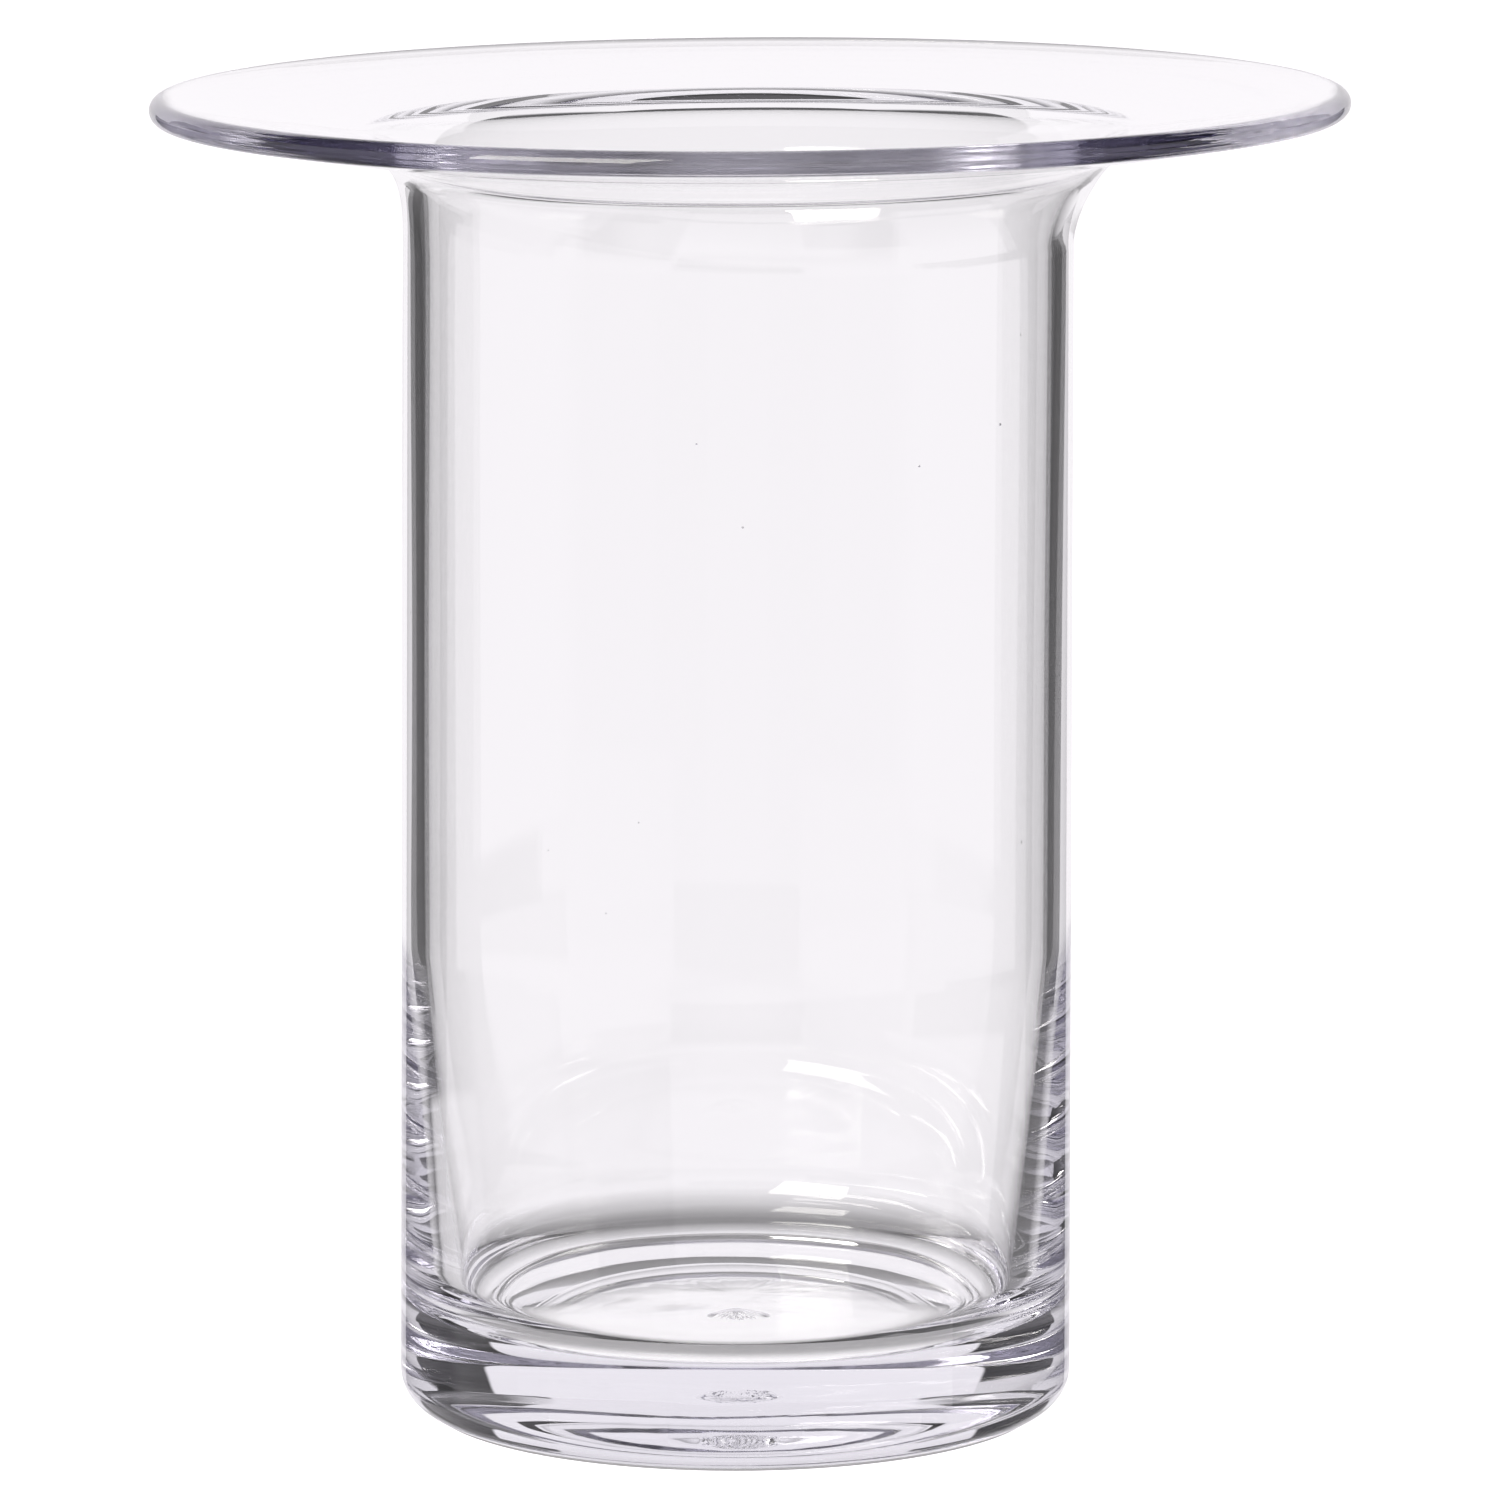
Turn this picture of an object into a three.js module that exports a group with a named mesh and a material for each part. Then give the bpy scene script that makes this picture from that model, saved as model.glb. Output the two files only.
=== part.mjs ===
// A hand-blown glass cylinder vase with a wide, flat, turned-out brim.
//
// The real vase is one piece of glass. It is built here as its four zones, which meet face to
// face: the heavy base with the inner floor, the straight wall, the neck that bends outwards,
// and the flat brim, which climbs a little to its rounded edge. Each zone is a solid of revolution.
//
// Units are millimetres, +Z points up and the vase stands on z = 0. The origin is in the middle
// of the vase's outline as seen from above, which is the middle of the brim.

import * as THREE from 'three';

// Driving dimensions
const brimRadius = 100;
const brimTopHeight = 223;
const brimThickness = 4.2;
const brimSlope = THREE.MathUtils.degToRad(9.5);
const bodyFootRadius = 56.8;
const bodyNeckRadius = 56.0;
const wallThickness = 3.8;
const heelRadius = 6.2;

// The heavy base
const floorMiddleHeight = 15.6;
const floorEdgeHeight = 16.2;
const floorCornerRadius = 10;
const wallThickeningTop = 80;
const wallThickeningRate = 0.011;
const wallThickeningPower = 1.5;
const footRingInnerRadius = 47.5;
const undersideRise = 5.8;
const undersidePower = 4;

// The neck turns outwards in two bends, a wide one and a tighter one above it
const wideBendRadius = 24;
const tightBendRadius = 9;
const wideBendTurn = THREE.MathUtils.degToRad(28);

// Signs of hand work: the brim sits beside the body's axis, the body leans and the brim tips
const brimOffset = 1.9;
const bodyLean = 0.0029;
const brimTip = 0.0062;

// The middle of the brim's round edge, and the step straight up out of its slope
const edgeRadius = brimThickness / 2;
const edgeCentre = new THREE.Vector2(brimRadius - edgeRadius, brimTopHeight - edgeRadius);
const upFromSlope = new THREE.Vector2(-Math.sin(brimSlope), Math.cos(brimSlope));

// Where the zones meet
const baseTopHeight = 34;
const brimRoot = findBrimRoot();
const brimRootTop = brimRoot.clone().addScaledVector(upFromSlope, brimThickness);
const neckBaseHeight = brimRoot.y - wideBendRadius * Math.sin(wideBendTurn)
  - tightBendRadius * (Math.cos(brimSlope) - Math.sin(wideBendTurn));

const segmentsAround = 72;

/** The underside of the brim where it leaves the tight bend. */
function findBrimRoot() {
  const bendsReach = wideBendRadius * (1 - Math.cos(wideBendTurn))
    + tightBendRadius * (Math.cos(wideBendTurn) - Math.sin(brimSlope));
  const radius = bodyNeckRadius + bendsReach;
  const edgeUnderside = edgeCentre.clone().addScaledVector(upFromSlope, -edgeRadius);
  const climb = (edgeUnderside.x - radius) * Math.tan(brimSlope);
  return new THREE.Vector2(radius, edgeUnderside.y - climb);
}

/** Outside radius of the body between the heel and the neck: a slight taper. */
function outerRadius(height) {
  return THREE.MathUtils.mapLinear(height, heelRadius, neckBaseHeight, bodyFootRadius, bodyNeckRadius);
}

/** Inside radius of the body: the wall grows thicker towards the base. */
function innerRadius(height) {
  const below = Math.max(0, wallThickeningTop - height);
  return outerRadius(height) - wallThickness - wallThickeningRate * below ** wallThickeningPower;
}

/** Points (radius, height) along an elliptical arc; angle 0 points outwards and 90 degrees up. */
function arc(centre, radii, fromDegrees, toDegrees, steps) {
  return Array.from({ length: steps + 1 }, (_, i) => {
    const angle = THREE.MathUtils.degToRad(THREE.MathUtils.lerp(fromDegrees, toDegrees, i / steps));
    return new THREE.Vector2(
      centre.x + radii.x * Math.cos(angle),
      centre.y + radii.y * Math.sin(angle),
    );
  });
}

/** Points (radius, height) of a profile given as a function, between two values of its input. */
function along(from, to, steps, point) {
  return Array.from({ length: steps + 1 }, (_, i) => point(THREE.MathUtils.lerp(from, to, i / steps)));
}

const circle = (radius) => new THREE.Vector2(radius, radius);

/** Height of the underside inside the foot ring: a hollow, nearly flat in the middle. */
function undersideHeight(radius) {
  return undersideRise * (1 - (radius / footRingInnerRadius) ** undersidePower);
}

/** The heavy base: foot ring, hollow underside, heel, thickened wall, inner corner and floor. */
function baseProfile() {
  const cornerCentreHeight = floorEdgeHeight + floorCornerRadius;
  const below = wallThickeningTop - cornerCentreHeight;
  const slope = wallThickeningPower * wallThickeningRate * below ** (wallThickeningPower - 1);
  const lean = Math.atan(slope);
  const cornerTop = cornerCentreHeight - floorCornerRadius * Math.sin(lean);
  const cornerCentre = new THREE.Vector2(
    innerRadius(cornerTop) - floorCornerRadius * Math.cos(lean),
    cornerCentreHeight,
  );
  const floorRise = floorEdgeHeight - floorMiddleHeight;
  return [
    ...along(0, footRingInnerRadius, 8, (r) => new THREE.Vector2(r, undersideHeight(r))),
    ...arc(new THREE.Vector2(bodyFootRadius - heelRadius, heelRadius), circle(heelRadius), -90, 0, 6),
    new THREE.Vector2(outerRadius(baseTopHeight), baseTopHeight),
    ...along(baseTopHeight, cornerTop, 2, (z) => new THREE.Vector2(innerRadius(z), z)),
    ...arc(cornerCentre, circle(floorCornerRadius), -THREE.MathUtils.radToDeg(lean), -90, 6).slice(1),
    ...along(cornerCentre.x, 0, 4, (r) => (
      new THREE.Vector2(r, floorMiddleHeight + floorRise * (r / cornerCentre.x) ** 2)
    )).slice(1),
  ];
}

/** The straight wall between the base and the neck. */
function wallProfile() {
  return [
    new THREE.Vector2(outerRadius(baseTopHeight), baseTopHeight),
    new THREE.Vector2(outerRadius(neckBaseHeight), neckBaseHeight),
    new THREE.Vector2(innerRadius(neckBaseHeight), neckBaseHeight),
    ...along(wallThickeningTop, baseTopHeight, 5, (z) => new THREE.Vector2(innerRadius(z), z)),
    new THREE.Vector2(outerRadius(baseTopHeight), baseTopHeight),
  ];
}

/** Points (radius, height) along a bend of the neck, a stated depth above its outside surface. */
function bend(centre, outsideRadius, fromTurn, toTurn, depthAt, steps) {
  return along(0, 1, steps, (share) => {
    const turn = THREE.MathUtils.lerp(fromTurn, toTurn, share);
    const reach = outsideRadius + depthAt(share);
    return new THREE.Vector2(centre.x - reach * Math.cos(turn), centre.y + reach * Math.sin(turn));
  });
}

/** The neck: a wide bend and a tight one, from the upright wall to the slope of the brim. */
function neckProfile() {
  const wideCentre = new THREE.Vector2(bodyNeckRadius + wideBendRadius, neckBaseHeight);
  const inwards = wideBendRadius - tightBendRadius;
  const tightCentre = new THREE.Vector2(
    wideCentre.x - inwards * Math.cos(wideBendTurn),
    wideCentre.y + inwards * Math.sin(wideBendTurn),
  );
  const fullTurn = Math.PI / 2 - brimSlope;
  const onOutside = () => 0;
  const onWallInside = () => wallThickness;
  const thickening = (share) => THREE.MathUtils.lerp(wallThickness, brimThickness, share);
  return [
    ...bend(wideCentre, wideBendRadius, 0, wideBendTurn, onOutside, 4),
    ...bend(tightCentre, tightBendRadius, wideBendTurn, fullTurn, onOutside, 6).slice(1, -1),
    brimRoot,
    brimRootTop,
    ...bend(tightCentre, tightBendRadius, wideBendTurn, fullTurn, thickening, 6).reverse().slice(1),
    ...bend(wideCentre, wideBendRadius, 0, wideBendTurn, onWallInside, 4).reverse().slice(1),
    new THREE.Vector2(bodyNeckRadius, neckBaseHeight),
  ];
}

/** The brim with its fully rounded edge. */
function brimProfile() {
  const slopeDegrees = THREE.MathUtils.radToDeg(brimSlope);
  return [
    brimRoot,
    ...arc(edgeCentre, circle(edgeRadius), slopeDegrees - 90, slopeDegrees + 90, 8),
    brimRootTop,
    brimRoot,
  ];
}

/** Moves each point sideways and up or down by the amounts that hand work left in the vase. */
function addHandwork(geometry) {
  const position = geometry.attributes.position;
  for (let i = 0; i < position.count; i += 1) {
    const x = position.getX(i);
    const height = position.getZ(i);
    const turned = THREE.MathUtils.smoothstep(height, neckBaseHeight, brimRoot.y);
    const leanShift = bodyLean * (height - brimTopHeight);
    const offsetShift = brimOffset * (turned - 1);
    position.setX(i, x + leanShift + offsetShift);
    position.setZ(i, height + brimTip * x * turned);
  }
}

const glass = { color: 0xeef0f2, roughness: 0.03, metalness: 0 };

/** One zone of the vase, turned about the vase's axis. */
function zone(name, profile) {
  const geometry = new THREE.LatheGeometry(profile, segmentsAround);
  geometry.rotateX(Math.PI / 2);
  addHandwork(geometry);
  geometry.computeVertexNormals();
  const mesh = new THREE.Mesh(geometry, new THREE.MeshStandardMaterial(glass));
  mesh.name = name;
  return mesh;
}

const vase = new THREE.Group();
vase.add(
  zone('base', baseProfile()),
  zone('wall', wallProfile()),
  zone('neck', neckProfile()),
  zone('brim', brimProfile()),
);

export default vase;
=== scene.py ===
"""A clear, hand-blown glass cylinder vase with a heavy base and a wide brim, in a pale studio.

Everything is in metres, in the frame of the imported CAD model: +Z up, the viewer on the -Y side.
"""

import math

import bmesh
import bpy
import numpy as np
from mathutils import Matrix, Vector


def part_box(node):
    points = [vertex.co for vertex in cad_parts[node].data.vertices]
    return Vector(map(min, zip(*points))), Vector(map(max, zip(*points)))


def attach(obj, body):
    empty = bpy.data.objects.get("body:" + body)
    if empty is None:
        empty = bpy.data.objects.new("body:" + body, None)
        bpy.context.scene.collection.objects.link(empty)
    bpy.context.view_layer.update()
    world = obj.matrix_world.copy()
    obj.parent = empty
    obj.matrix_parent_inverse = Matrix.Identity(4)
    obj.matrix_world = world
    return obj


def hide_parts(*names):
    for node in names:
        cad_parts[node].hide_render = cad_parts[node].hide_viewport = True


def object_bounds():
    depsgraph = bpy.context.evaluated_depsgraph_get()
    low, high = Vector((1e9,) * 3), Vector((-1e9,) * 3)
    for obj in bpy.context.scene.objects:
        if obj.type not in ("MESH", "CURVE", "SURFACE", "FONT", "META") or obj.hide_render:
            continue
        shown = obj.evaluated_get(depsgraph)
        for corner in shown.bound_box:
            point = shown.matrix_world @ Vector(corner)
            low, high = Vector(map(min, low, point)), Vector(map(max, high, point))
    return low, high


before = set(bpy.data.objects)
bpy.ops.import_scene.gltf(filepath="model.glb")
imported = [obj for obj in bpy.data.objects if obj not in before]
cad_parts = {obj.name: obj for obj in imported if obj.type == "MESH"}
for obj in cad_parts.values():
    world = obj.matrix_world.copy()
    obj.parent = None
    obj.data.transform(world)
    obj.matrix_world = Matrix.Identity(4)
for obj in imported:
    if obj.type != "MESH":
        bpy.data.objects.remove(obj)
CAD_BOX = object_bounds()
MM = 0.001

# ---------------------------------------------------------------- sizes of the brim and the neck

BRIM_TIP = 0.0062
BRIM_THICKNESS = 4.2 * MM
BRIM_SLOPE = math.radians(9.5)

# The neck turns outwards in two bends, a wide one and a tighter one above it
WIDE_BEND = 24 * MM
TIGHT_BEND = 9 * MM
WIDE_BEND_TURN = math.radians(28)

# ---------------------------------------------------------------- sizes worked out from the frame

brim_low, brim_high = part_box("brim")
neck_low, neck_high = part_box("neck")
base_low, base_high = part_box("base")

BRIM_RADIUS = (brim_high[0] - brim_low[0]) / 2
BRIM_TOP = brim_high[2] - BRIM_TIP * (BRIM_RADIUS - BRIM_THICKNESS / 2)
BODY_FOOT_RADIUS = (base_high[0] - base_low[0]) / 2
BRIM_ROOT = (neck_high[0] - neck_low[0]) / 2
NECK_BASE = neck_low[2]
BENDS_REACH = (WIDE_BEND * (1 - math.cos(WIDE_BEND_TURN))
               + TIGHT_BEND * (math.cos(WIDE_BEND_TURN) - math.sin(BRIM_SLOPE)))
BENDS_CLIMB = (WIDE_BEND * math.sin(WIDE_BEND_TURN)
               + TIGHT_BEND * (math.cos(BRIM_SLOPE) - math.sin(WIDE_BEND_TURN)))
BODY_NECK_RADIUS = BRIM_ROOT - BENDS_REACH
BRIM_ROOT_HEIGHT = NECK_BASE + BENDS_CLIMB

# ---------------------------------------------------------------- sizes inside the vase

WALL = 3.8 * MM
HEEL = 6.2 * MM
FLOOR_MIDDLE = 15.6 * MM
FLOOR_EDGE = 16.2 * MM
FLOOR_CORNER = 10 * MM
THICKENING_TOP = 80 * MM
THICKENING_RATE = 0.011
THICKENING_POWER = 1.5
FOOT_RING_INNER = 47.5 * MM
UNDERSIDE_RISE = 5.8 * MM
UNDERSIDE_POWER = 4

# Signs of hand work: the brim sits beside the body's axis, and the body leans
BRIM_OFFSET = 1.9 * MM
BODY_LEAN = 0.0029

# The scar left where the vase was cracked off the punty iron
MARK_CENTRE = (0.5 * MM, -6.8 * MM)
MARK_RADIUS = 5 * MM
MARK_DEPTH = 0.5 * MM
MARK_CHIPS = 0.22 * MM

# Tiny bubbles left in the wall
SEEDS = 14
SEED_RADII = (0.1 * MM, 0.28 * MM)

# Sizes of the waves that hand work left: the surface wanders slowly, cords run low in the wall and fade
# out above it, fine lines are drawn up the wall, and rings run round the brim
WANDER_SIZE = 0.03 * MM
CORD_SIZE = 0.002 * MM
DRAWN_SIZE = 0.003 * MM
RING_SIZE = 0.02 * MM
CORDS_FADE = (20 * MM, 58 * MM)

# How far past the height of a surface a point may lie and still belong to it
HEIGHT_MARGIN = 1 * MM

# Points of the outline that are nearer to each other than this are one point
SAME_POINT = 1e-7

AROUND = 288
HAND = np.random.default_rng(11)


def outer_radius(height):
    """Outside radius of the body between the heel and the neck."""
    share = (height - HEEL) / (NECK_BASE - HEEL)
    return BODY_FOOT_RADIUS + (BODY_NECK_RADIUS - BODY_FOOT_RADIUS) * share


def inner_radius(height):
    """Inside radius of the body, whose wall grows thicker towards the base."""
    below = np.maximum(0, THICKENING_TOP - height) / MM
    return outer_radius(height) - WALL - THICKENING_RATE * MM * below**THICKENING_POWER


def arc(centre, radii, start, end, steps):
    """Points (radius, height) along an elliptical arc, in degrees from the outward direction."""
    angles = np.radians(np.linspace(start, end, steps + 1))
    return np.stack([centre[0] + radii[0] * np.cos(angles), centre[1] + radii[1] * np.sin(angles)], 1)


def underside_height(radius):
    """The hollow inside the foot ring."""
    return UNDERSIDE_RISE * (1 - np.minimum(radius / FOOT_RING_INNER, 1) ** UNDERSIDE_POWER)


def curve(start, end, steps, radius, height):
    """Points (radius, height) of two functions of one value."""
    value = np.linspace(start, end, steps + 1)
    return np.stack([radius(value), height(value)], 1)


def itself(value):
    """For a curve whose radius or height is the value that it runs along."""
    return value


def vase_profile():
    """The whole outline of the glass, from the middle of the underside round to the middle of the floor."""
    corner_height = FLOOR_EDGE + FLOOR_CORNER
    below = (THICKENING_TOP - corner_height) / MM
    wall_slant = math.atan(THICKENING_POWER * THICKENING_RATE * below ** (THICKENING_POWER - 1))
    corner_top = corner_height - FLOOR_CORNER * math.sin(wall_slant)
    corner = (inner_radius(corner_top) - FLOOR_CORNER * math.cos(wall_slant), corner_height)
    floor_rise = FLOOR_EDGE - FLOOR_MIDDLE
    slope, turn = math.degrees(BRIM_SLOPE), math.degrees(WIDE_BEND_TURN)
    edge = BRIM_THICKNESS / 2
    brim_edge = arc((BRIM_RADIUS - edge, BRIM_TOP - edge), (edge, edge), slope - 90, slope + 90, 16)
    wide_centre = np.array((BODY_NECK_RADIUS + WIDE_BEND, NECK_BASE))
    tight_centre = wide_centre + (WIDE_BEND - TIGHT_BEND) * np.array((-cosine(turn), sine(turn)))
    thin, thick = WIDE_BEND + WALL, TIGHT_BEND + BRIM_THICKNESS
    outside_bend = arc(tight_centre, (TIGHT_BEND, TIGHT_BEND), 180 - turn, 90 + slope, 16)
    inside_bend = arc(tight_centre, (thick, thick), 90 + slope, 180 - turn, 24)
    thinning = np.linspace(1, (TIGHT_BEND + WALL) / thick, len(inside_bend))[:, None]
    inside_bend = tight_centre + (inside_bend - tight_centre) * thinning
    near_mark = 3 * MARK_RADIUS
    pieces = [
        curve(0, near_mark, 20, itself, underside_height),
        curve(near_mark, FOOT_RING_INNER, 22, itself, underside_height),
        arc((BODY_FOOT_RADIUS - HEEL, HEEL), (HEEL, HEEL), -90, 0, 14),
        curve(HEEL, THICKENING_TOP, 28, outer_radius, itself),
        curve(THICKENING_TOP, NECK_BASE, 12, outer_radius, itself),
        arc(wide_centre, (WIDE_BEND, WIDE_BEND), 180, 180 - turn, 12),
        outside_bend,
        np.linspace(outside_bend[-1], brim_edge[0], 13),
        brim_edge,
        np.linspace(brim_edge[-1], inside_bend[0], 13),
        inside_bend,
        arc(wide_centre, (thin, thin), 180 - turn, 180, 14),
        curve(NECK_BASE, THICKENING_TOP, 12, inner_radius, itself),
        curve(THICKENING_TOP, corner_top, 40, inner_radius, itself),
        arc(corner, (FLOOR_CORNER, FLOOR_CORNER), -math.degrees(wall_slant), -90, 16),
        curve(corner[0], 0, 44, itself, lambda r: FLOOR_MIDDLE + floor_rise * (r / corner[0]) ** 2),
    ]
    return np.concatenate([pieces[0]] + [piece[1:] if close(piece[0], pieces[i][-1]) else piece
                                         for i, piece in enumerate(pieces[1:])])


def close(a, b):
    """True if two points of the outline are one point."""
    return float(np.hypot(*(a - b))) < SAME_POINT


def smooth_step(low, high, value):
    """0 at low and 1 at high, smooth between; low may be the larger of the two."""
    t = np.clip((value - low) / (high - low), 0, 1)
    return t * t * (3 - 2 * t)


def waves(angle, along, size, turns, cycles, count=14):
    """Uneven waves of about this size: turns round the vase, and cycles per metre along its outline."""
    total = 0
    for _ in range(count):
        around = HAND.integers(turns[0], turns[1], endpoint=True)
        slant = HAND.uniform(cycles[0], cycles[1]) * HAND.choice((-1, 1))
        phase = HAND.uniform(0, 2 * math.pi)
        total = total + np.cos(around * angle + 2 * math.pi * slant * along + phase)
    return size * total / math.sqrt(count / 2)


def unevenness(angle, radius, height, along):
    """How far hand work left the surface from the true outline, outwards from the glass."""
    inside = smooth_step(1 * MM, 3 * MM, outer_radius(height) - radius)
    inside = inside * (height > FLOOR_MIDDLE - HEIGHT_MARGIN)
    under = smooth_step(FOOT_RING_INNER, FOOT_RING_INNER - 6 * MM, radius)
    under = under * (height < UNDERSIDE_RISE + HEIGHT_MARGIN)
    low = 1 - smooth_step(*CORDS_FADE, height)
    brim = smooth_step(BRIM_ROOT, BRIM_ROOT + 4 * MM, radius)
    edge = smooth_step(BRIM_RADIUS - 5 * MM, BRIM_RADIUS - 2.5 * MM, radius)
    off_axis = smooth_step(0, 12 * MM, radius)
    ring_places = brim * (1 - edge) + 0.08 * inside * low
    wander = waves(angle, along, WANDER_SIZE, turns=(1, 4), cycles=(0, 8)) * (inside + under)
    cords = waves(angle, along, CORD_SIZE, turns=(2, 9), cycles=(30, 90)) * low * (0.35 + inside + under)
    drawn = waves(angle, along, DRAWN_SIZE, turns=(8, 26), cycles=(0, 8)) * (0.3 + inside) * (1 - brim)
    rings = waves(angle, along, RING_SIZE, turns=(0, 2), cycles=(60, 160)) * ring_places
    return (wander + cords + drawn + rings) * off_axis


def punty_mark(x, y):
    """A shallow chipped dent in the underside."""
    distance = np.hypot(x - MARK_CENTRE[0], y - MARK_CENTRE[1]) / MARK_RADIUS
    dent = MARK_DEPTH * (1 - smooth_step(0.8, 1.05, distance))
    chips = HAND.uniform(-1, 1, distance.shape) * MARK_CHIPS
    return dent + chips * (1 - smooth_step(0.5, 1.0, distance))


def lean(x, height):
    """The body leans a little, the brim sits beside its axis and tips."""
    turned = smooth_step(NECK_BASE, BRIM_ROOT_HEIGHT, height)
    moved = x + BODY_LEAN * (height - BRIM_TOP) + BRIM_OFFSET * (turned - 1)
    return moved, height + BRIM_TIP * x * turned


def vase_surface():
    """Vertices and faces of the closed surface that the outline sweeps round the axis."""
    profile = vase_profile()
    heading = np.gradient(profile, axis=0)
    outward = np.stack([heading[:, 1], -heading[:, 0]], 1) / np.hypot(*heading.T)[:, None]
    along = np.concatenate([[0], np.cumsum(np.hypot(*np.diff(profile, axis=0).T))])

    angle = np.arange(AROUND) * 2 * np.pi / AROUND
    row = slice(1, -1)
    radius, height, along = profile[row, 0, None], profile[row, 1, None], along[row, None]
    depth = unevenness(angle, radius, height, along)
    swept_radius = radius + outward[row, 0, None] * depth
    z = height + outward[row, 1, None] * depth
    x, y = swept_radius * np.sin(angle), -swept_radius * np.cos(angle)
    underside = (height < UNDERSIDE_RISE + HEIGHT_MARGIN) & (radius < FOOT_RING_INNER)
    z = z + underside * punty_mark(x, y)
    x, z = lean(x, z)
    ends = [lean(0.0, profile[end, 1]) for end in (0, -1)]
    tips = [(x_end, 0, z_end) for x_end, z_end in ends]
    vertices = np.concatenate([np.stack([x, y, z], -1).reshape(-1, 3), tips])

    rows = len(radius)
    index = np.arange(rows * AROUND).reshape(rows, AROUND)
    turned = np.roll(index, -1, axis=1)
    quads = np.stack([index[:-1], turned[:-1], turned[1:], index[1:]], -1).reshape(-1, 4)
    bottom, top = rows * AROUND, rows * AROUND + 1
    faces = [tuple(q) for q in quads.tolist()]
    faces += [(bottom, b, a) for a, b in zip(index[0].tolist(), turned[0].tolist())]
    faces += [(top, a, b) for a, b in zip(index[-1].tolist(), turned[-1].tolist())]
    return vertices, faces


def seed_surface(radius):
    """A tiny air bubble inside the wall: a ball whose faces look inwards."""
    angle, height = HAND.uniform(0, 2 * math.pi), HAND.uniform(THICKENING_TOP, NECK_BASE)
    x, z = lean((outer_radius(height) - WALL / 2) * math.sin(angle), height)
    middle = np.array([x, -(outer_radius(height) - WALL / 2) * math.cos(angle), z])
    ball = bmesh.new()
    bmesh.ops.create_icosphere(ball, subdivisions=2, radius=radius)
    vertices = [middle + np.array(vertex.co) for vertex in ball.verts]
    faces = [[vertex.index for vertex in reversed(face.verts)] for face in ball.faces]
    ball.free()
    return np.array(vertices), faces


def build_vase():
    """One mesh for the whole piece of glass, with the seeds inside it."""
    vertices, faces = vase_surface()
    for _ in range(SEEDS):
        seed_vertices, seed_faces = seed_surface(HAND.uniform(*SEED_RADII))
        faces += [tuple(corner + len(vertices) for corner in face) for face in seed_faces]
        vertices = np.concatenate([vertices, seed_vertices])
    mesh = bpy.data.meshes.new("vase_glass")
    mesh.from_pydata(vertices.tolist(), [], faces)
    mesh.validate()
    mesh.polygons.foreach_set("use_smooth", [True] * len(mesh.polygons))
    mesh.update()
    piece = bpy.data.objects.new("vase_glass", mesh)
    bpy.context.scene.collection.objects.link(piece)
    return piece


# ---------------------------------------------------------------- materials

GLASS_IOR = 1.5
GLASS_TINT = (0.856, 0.849, 0.893, 1)
GLASS_DENSITY = 11
GLASS_HAZE = 0.02
RIPPLE_HEIGHT = 0.004 * MM
PAPER_GLOW = (1, 0.98, 1, 1)


class Wiring:
    """Short calls for the nodes of one tree."""

    def __init__(self, tree):
        self.nodes, self.links = tree.nodes, tree.links

    def add(self, kind, inputs=(), **settings):
        """A node with these settings, its inputs set to numbers or linked to sockets; its first output."""
        node = self.nodes.new(kind)
        for name, value in settings.items():
            setattr(node, name, value)
        for name, value in dict(inputs).items():
            if isinstance(value, bpy.types.NodeSocket):
                self.links.new(value, node.inputs[name])
            else:
                node.inputs[name].default_value = value
        return node.outputs[0]

    def maths(self, operation, first, second=0.0):
        return self.add("ShaderNodeMath", {0: first, 1: second}, operation=operation)

    def ramp(self, value, source, target, **settings):
        """The value moved from the range source to the range target, and kept within it."""
        inputs = {"Value": value, "From Min": source[0], "From Max": source[1],
                  "To Min": target[0], "To Max": target[1]}
        return self.add("ShaderNodeMapRange", inputs, **settings)

    def step(self, value, low, high):
        """0 at low and 1 at high, smooth between."""
        return self.ramp(value, (low, high), (0, 1), interpolation_type="SMOOTHSTEP")


def new_material(name):
    """A material with its nodes on, and the shader that it starts with."""
    material = bpy.data.materials.new(name)
    material.use_nodes = True
    return material, material.node_tree.nodes["Principled BSDF"]


def glass_material():
    """Clear glass with a faint tint in its depth, a slightly uneven polish and drawn-out ripples."""
    material, shader = new_material("clear_glass")
    shader.inputs["Base Color"].default_value = (1, 1, 1, 1)
    shader.inputs["Transmission Weight"].default_value = 1
    shader.inputs["IOR"].default_value = GLASS_IOR
    wiring = Wiring(material.node_tree)
    place = wiring.add("ShaderNodeTexCoord").node.outputs["Object"]
    haze = wiring.add("ShaderNodeTexNoise", {"Vector": place, "Scale": 18, "Detail": 4})
    wiring.links.new(wiring.ramp(haze, (0.55, 0.8), (0, GLASS_HAZE)), shader.inputs["Roughness"])
    drawn_out = wiring.add("ShaderNodeVectorMath", {0: place, 1: (1, 1, 0.08)}, operation="MULTIPLY")
    ripple = wiring.add("ShaderNodeTexNoise", {"Vector": drawn_out, "Scale": 60, "Detail": 2})
    bump = wiring.add("ShaderNodeBump", {"Height": ripple, "Strength": 1, "Distance": RIPPLE_HEIGHT})
    wiring.links.new(bump, shader.inputs["Normal"])
    tint = wiring.add("ShaderNodeVolumeAbsorption", {"Color": GLASS_TINT, "Density": GLASS_DENSITY})
    wiring.links.new(tint, wiring.nodes["Material Output"].inputs["Volume"])
    return material


def floor_material(name, albedo, glow):
    """Matte paper with a glow of its own, which paints light and shade wherever it isn't even."""
    material, shader = new_material(name)
    shader.inputs["Base Color"].default_value = (*albedo, 1)
    shader.inputs["Roughness"].default_value = 1
    shader.inputs["Specular IOR Level"].default_value = 0
    shader.inputs["Emission Color"].default_value = PAPER_GLOW
    shader.inputs["Emission Strength"].default_value = glow
    return material


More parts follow.
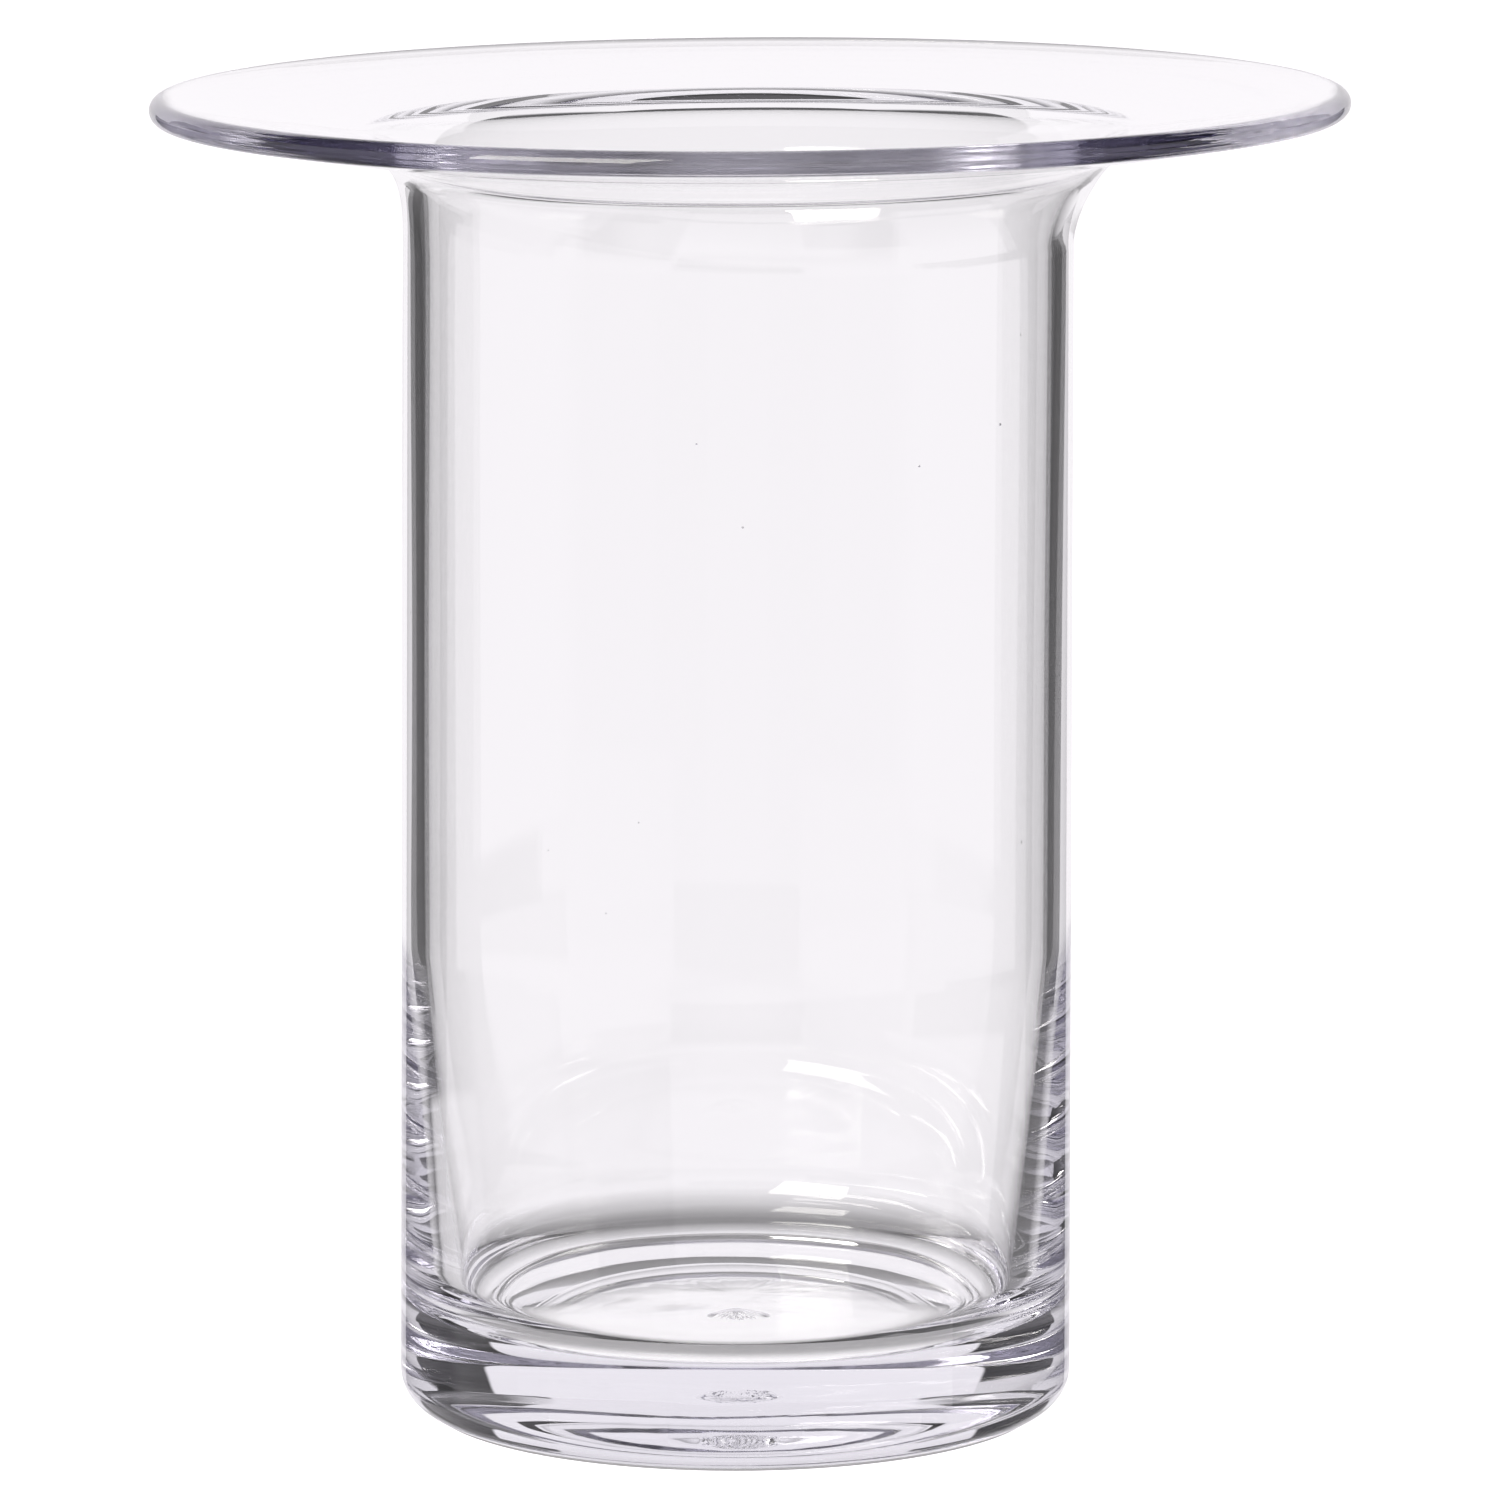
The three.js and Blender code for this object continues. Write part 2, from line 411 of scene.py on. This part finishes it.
def paint_light_and_shade(material, inner, outer, middle_painted_light, edge_painted_light):
    """Painted light and shade on a floor: a glow brightest in the middle, where light comes through the
    glass, fading between two distances from its middle.
    """
    wiring = Wiring(material.node_tree)
    place = wiring.add("ShaderNodeTexCoord").node.outputs["Object"]
    distance = wiring.add("ShaderNodeVectorMath", {0: place}, operation="LENGTH").node.outputs["Value"]
    glow = wiring.ramp(distance, (inner, outer), (middle_painted_light, edge_painted_light), interpolation_type="SMOOTHSTEP")
    wiring.links.new(glow, wiring.nodes["Principled BSDF"].inputs["Emission Strength"])


# ---------------------------------------------------------------- studio

# Screens of white cloth round the vase: bearing from straight behind it, clockwise from above, half
# width, lowest and highest elevation and softness of the side edges, all in degrees as seen from the
# vase, and brightness. The dark between the screens is what draws the edges of the glass.
SCREENS = (
    (0, 22, -29, 2, 0.6, 0.96),
    (0, 34, 1, 38, 0.6, 1.0),
    (0, 12, 36, 51, 2, 1.0),
    (0, 26, -60, -17, 9, 0.96),
    (-90, 28, -11.5, 2, 0.6, 0.9),
    (-90, 22, -29, -10.5, 6, 0.6),
    (-90, 30, 1, 18, 0.6, 0.9),
    (-90, 34, -60, -28.5, 0.6, 0.9),
    (90, 28, -11.5, 2, 0.6, 0.9),
    (90, 30, 1, 18, 0.6, 0.9),
    (90, 24, -60, -18.5, 0.6, 0.9),
    (180, 44, -5.8, 2, 10, 0.9),
    (180, 80, -13.5, -5.8, 0.6, 0.8),
    (180, 30, 1, 18, 0.6, 0.9),
    (180, 24, -60, -18.5, 0.6, 0.9),
    (135, 22, -34, -9.5, 0.6, 0.9),
    (-135, 22, -20, -9.5, 0.6, 0.9),
    (-50, 19, -50, -21.5, 4, 0.85),
    (-45, 24, 16, 34, 0.6, 0.8),
    (135, 24, 9, 30, 0.6, 0.8),
)
SCREEN_EDGE = 0.6

# The rest of the room: dark above the table, paler below it where white paper lies, and grey high up.
# Here and below, each RISE holds the two elevations, in degrees, between which a light changes
ROOM_RISE = (-30, 2)
ROOM_BELOW = 0.22
ROOM_DARK = 0.035
HIGH_RISE = (24, 34)
ROOM_HIGH = 0.06

# Screens and room are dimmed towards steep directions below. Two soft lights stand apart from them,
# one overhead and one straight below
STEEP_RISE = (-54, -28)
STEEP_DIMMING = 0.25
OVERHEAD_RISE = (50, 62)
OVERHEAD_LIGHT = 0.12
STRAIGHT_DOWN_RISE = (-68, -78)
STRAIGHT_DOWN_LIGHT = 0.2
STUDIO_COLOUR = (0.995, 0.97, 1.0)

# The wide floor lies a little under the shaded disc, which lies a little under the foot
FLOOR_RADIUS = 4.0
FLOOR_HEIGHT = -0.4 * MM
SHADED_RADIUS = 52 * MM
SHADED_HEIGHT = -0.2 * MM
DISC_CORNERS = 96

# The photograph's view, in metres from the middle of the vase and in millimetres of lens and film
CAMERA_PITCH = math.radians(9.3)
CAMERA_DISTANCE = 1.681
CAMERA_LENS = 239.8
CAMERA_FILM = 36
CAMERA_REACH = 50

# How often a path of light may meet the glass: the brim's edge traps light for a long way
LIGHT_BOUNCES = 96


def sine(degrees):
    return math.sin(math.radians(degrees))


def cosine(degrees):
    return math.cos(math.radians(degrees))


def patch_of_sky(wiring, flat, height, bearing, half_width, lowest, highest, soft):
    """1 inside this range of bearings and elevations and 0 outside it."""
    towards = (sine(bearing), cosine(bearing), 0)
    product = wiring.add("ShaderNodeVectorMath", {0: flat, 1: towards}, operation="DOT_PRODUCT")
    facing = product.node.outputs["Value"]
    across = wiring.step(facing, cosine(half_width + soft), cosine(half_width - soft))
    above = wiring.step(height, sine(lowest - SCREEN_EDGE), sine(lowest + SCREEN_EDGE))
    beneath = wiring.step(height, sine(highest + SCREEN_EDGE), sine(highest - SCREEN_EDGE))
    return wiring.maths("MULTIPLY", wiring.maths("MULTIPLY", above, beneath), across)


def light_beyond(wiring, height, rise, brightness):
    """Light of this brightness that grows from nothing between two elevations."""
    start, end = rise
    return wiring.maths("MULTIPLY", wiring.step(height, sine(start), sine(end)), brightness)


def build_world():
    """The screens, the dimmer room between them, and soft light from overhead and from straight below.

    They show only in and through the glass: past the vase, the camera itself sees plain white.
    """
    world = bpy.data.worlds.new("studio")
    bpy.context.scene.world = world
    world.use_nodes = True
    wiring = Wiring(world.node_tree)
    direction = wiring.add("ShaderNodeTexCoord").node.outputs["Generated"]
    flat = wiring.add("ShaderNodeVectorMath", {0: direction, 1: (1, 1, 0)}, operation="MULTIPLY")
    flat = wiring.add("ShaderNodeVectorMath", {0: flat}, operation="NORMALIZE")
    height = wiring.add("ShaderNodeSeparateXYZ", {0: direction}).node.outputs["Z"]

    light = 0.0
    for *place, brightness in SCREENS:
        screen = patch_of_sky(wiring, flat, height, *place)
        light = wiring.maths("MAXIMUM", light, wiring.maths("MULTIPLY", screen, brightness))
    dimming = wiring.ramp(height, [sine(elevation) for elevation in STEEP_RISE], (STEEP_DIMMING, 1))
    overhead = light_beyond(wiring, height, OVERHEAD_RISE, OVERHEAD_LIGHT)
    straight_down = light_beyond(wiring, height, STRAIGHT_DOWN_RISE, STRAIGHT_DOWN_LIGHT)
    room = wiring.ramp(height, [sine(elevation) for elevation in ROOM_RISE], (ROOM_BELOW, ROOM_DARK))
    high = light_beyond(wiring, height, HIGH_RISE, ROOM_HIGH)
    light = wiring.maths("MULTIPLY", wiring.maths("MAXIMUM", light, room), dimming)
    for other in (overhead, straight_down, high):
        light = wiring.maths("MAXIMUM", light, other)

    rays = wiring.add("ShaderNodeLightPath").node.outputs["Is Camera Ray"]
    light = wiring.add("ShaderNodeVectorMath", {0: light, 1: STUDIO_COLOUR}, operation="MULTIPLY")
    light = wiring.add("ShaderNodeVectorMath", {0: light, 1: rays}, operation="MAXIMUM")
    wiring.links.new(light, wiring.nodes["Background"].inputs["Color"])


def disc(name, radius, height, material):
    """A flat round piece of the studio, which isn't part of the vase."""
    mesh = bpy.data.meshes.new(name)
    angles = np.linspace(0, 2 * np.pi, DISC_CORNERS + 1)[:-1]
    corners = [(radius * math.cos(a), radius * math.sin(a), height) for a in angles]
    mesh.from_pydata(corners, [], [tuple(range(len(corners)))])
    mesh.materials.append(material)
    piece = bpy.data.objects.new(name, mesh)
    bpy.context.scene.collection.objects.link(piece)
    return piece


def build_floor():
    """A wide pale floor that the glass doesn't show, and the shaded disc under the vase that it does."""
    pale = floor_material("pale_floor", albedo=(0.8, 0.8, 0.8), glow=1.0)
    floor = disc("floor", FLOOR_RADIUS, FLOOR_HEIGHT, pale)
    floor.visible_transmission = False
    floor.visible_glossy = False
    # Painted shade and light: a dark grey disc where the vase shades the floor, glowing brighter in its
    # middle where light comes through the glass
    shaded = floor_material("shaded_floor", albedo=(0.3, 0.29, 0.3), glow=0)
    paint_light_and_shade(shaded, inner=30 * MM, outer=46 * MM, middle_painted_light=0.95, edge_painted_light=0.34)
    patch = disc("floor_under_vase", SHADED_RADIUS, SHADED_HEIGHT, shaded)
    patch.location.x = (base_low[0] + base_high[0]) / 2


def area_light(name, azimuth, elevation, distance, size, watts, colour):
    """A softbox aimed at the middle of the vase; azimuth 0 is the viewer's side, positive to the right."""
    middle = Vector((0, 0, (CAD_BOX[0][2] + CAD_BOX[1][2]) / 2))
    a, e = math.radians(azimuth), math.radians(elevation)
    direction = Vector((math.sin(a) * math.cos(e), -math.cos(a) * math.cos(e), math.sin(e)))
    light = bpy.data.lights.new(name, "AREA")
    light.shape = "RECTANGLE"
    light.size, light.size_y = size
    light.energy = watts
    light.color = colour
    lamp = bpy.data.objects.new(name, light)
    lamp.location = middle + direction * distance
    lamp.rotation_euler = direction.to_track_quat("Z", "Y").to_euler()
    lamp.visible_camera = False
    bpy.context.scene.collection.objects.link(lamp)


def build_camera():
    """The photograph's view: a long lens, a little above the brim."""
    middle = Vector(((CAD_BOX[0][0] + CAD_BOX[1][0]) / 2, 0, (CAD_BOX[0][2] + CAD_BOX[1][2]) / 2))
    camera = bpy.data.cameras.new("camera")
    camera.lens = CAMERA_LENS
    camera.sensor_width = CAMERA_FILM
    camera.clip_end = CAMERA_REACH
    seat = bpy.data.objects.new("camera", camera)
    outwards = Vector((0, -math.cos(CAMERA_PITCH), math.sin(CAMERA_PITCH)))
    seat.location = middle + outwards * CAMERA_DISTANCE
    seat.rotation_euler = (math.pi / 2 - CAMERA_PITCH, 0, 0)
    bpy.context.scene.collection.objects.link(seat)
    bpy.context.scene.camera = seat


vase = build_vase()
vase.data.materials.append(glass_material())
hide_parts("base", "wall", "neck", "brim")
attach(vase, "root")

build_world()
build_floor()
area_light("key", azimuth=-37, elevation=30, distance=1.3,
           size=(0.72, 0.75), watts=14, colour=(1, 0.98, 0.9))
build_camera()

scene = bpy.context.scene
scene.view_settings.view_transform = "Standard"
scene.cycles.max_bounces = LIGHT_BOUNCES
scene.cycles.transmission_bounces = LIGHT_BOUNCES
scene.cycles.glossy_bounces = LIGHT_BOUNCES
scene.cycles.caustics_reflective = True
scene.cycles.caustics_refractive = True
scene.cycles.use_denoising = True
